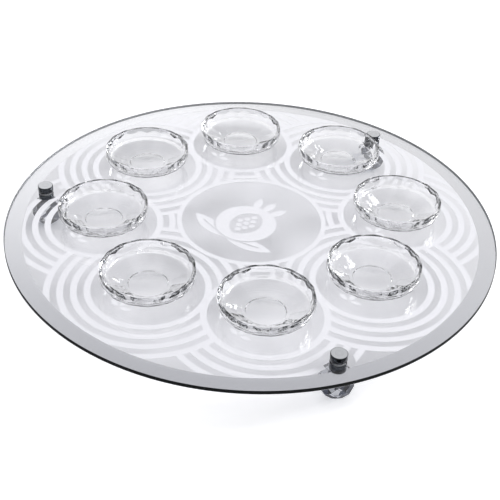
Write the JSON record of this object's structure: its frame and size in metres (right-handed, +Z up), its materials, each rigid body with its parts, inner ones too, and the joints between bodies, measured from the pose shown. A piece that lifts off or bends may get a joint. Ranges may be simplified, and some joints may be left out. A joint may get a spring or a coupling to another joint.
{
  "type": "rosh hashanah plate",
  "caption": "Round clear glass serving plate with a white ring print and a mirror band, on crystal feet, carrying loose faceted glass bowls that lift off.",
  "frame": {"origin": "on the table, below the middle of the round plate", "axes": "+Z up, -Y the front of the plate, which is the side that the printed fruit's leaves are on; +X to the right"},
  "size_m": [0.3999, 0.4, 0.0496],
  "materials": {
    "plate_glass": "clear float glass, polished, with a ground edge",
    "mirror_coat": "silver mirror coat below the glass",
    "white_enamel": "opaque white screen print below the glass",
    "crystal": "cut and polished crystal",
    "collar_metal": "chrome plated, polished",
    "cap_steel": "turned steel, brushed in rings on top and polished round the side",
    "stud_steel": "zinc plated thread",
    "clear_plastic": "clear soft plastic",
    "bowl_glass": "clear pressed glass, fire polished"
  },
  "bodies": {
    "plate": {"glass_plate": "plate_glass", "mirror_band": "mirror_coat", "white_print": "white_enamel", "crystal_1": "crystal", "crystal_2": "crystal", "crystal_3": "crystal", "collar_1": "collar_metal", "collar_2": "collar_metal", "collar_3": "collar_metal", "washer_1": "clear_plastic", "washer_2": "clear_plastic", "washer_3": "clear_plastic", "stud_1": "stud_steel", "stud_2": "stud_steel", "stud_3": "stud_steel", "bush_1": "clear_plastic", "bush_2": "clear_plastic", "bush_3": "clear_plastic", "cap_1": "cap_steel", "cap_2": "cap_steel", "cap_3": "cap_steel"},
    "bowl_1": {"bowl_1": "bowl_glass"},
    "bowl_2": {"bowl_2": "bowl_glass"},
    "bowl_3": {"bowl_3": "bowl_glass"},
    "bowl_4": {"bowl_4": "bowl_glass"},
    "bowl_5": {"bowl_5": "bowl_glass"},
    "bowl_6": {"bowl_6": "bowl_glass"},
    "bowl_7": {"bowl_7": "bowl_glass"},
    "bowl_8": {"bowl_8": "bowl_glass"}
  },
  "joints": [
    {"name": "bowl_1_lift", "type": "slide", "parent": "plate", "child": "bowl_1", "axis": [0, 0, 1], "range_m": [0, 0.1]},
    {"name": "bowl_2_lift", "type": "slide", "parent": "plate", "child": "bowl_2", "axis": [0, 0, 1], "range_m": [0, 0.1]},
    {"name": "bowl_3_lift", "type": "slide", "parent": "plate", "child": "bowl_3", "axis": [0, 0, 1], "range_m": [0, 0.1]},
    {"name": "bowl_4_lift", "type": "slide", "parent": "plate", "child": "bowl_4", "axis": [0, 0, 1], "range_m": [0, 0.1]},
    {"name": "bowl_5_lift", "type": "slide", "parent": "plate", "child": "bowl_5", "axis": [0, 0, 1], "range_m": [0, 0.1]},
    {"name": "bowl_6_lift", "type": "slide", "parent": "plate", "child": "bowl_6", "axis": [0, 0, 1], "range_m": [0, 0.1]},
    {"name": "bowl_7_lift", "type": "slide", "parent": "plate", "child": "bowl_7", "axis": [0, 0, 1], "range_m": [0, 0.1]},
    {"name": "bowl_8_lift", "type": "slide", "parent": "plate", "child": "bowl_8", "axis": [0, 0, 1], "range_m": [0, 0.1]}
  ]
}
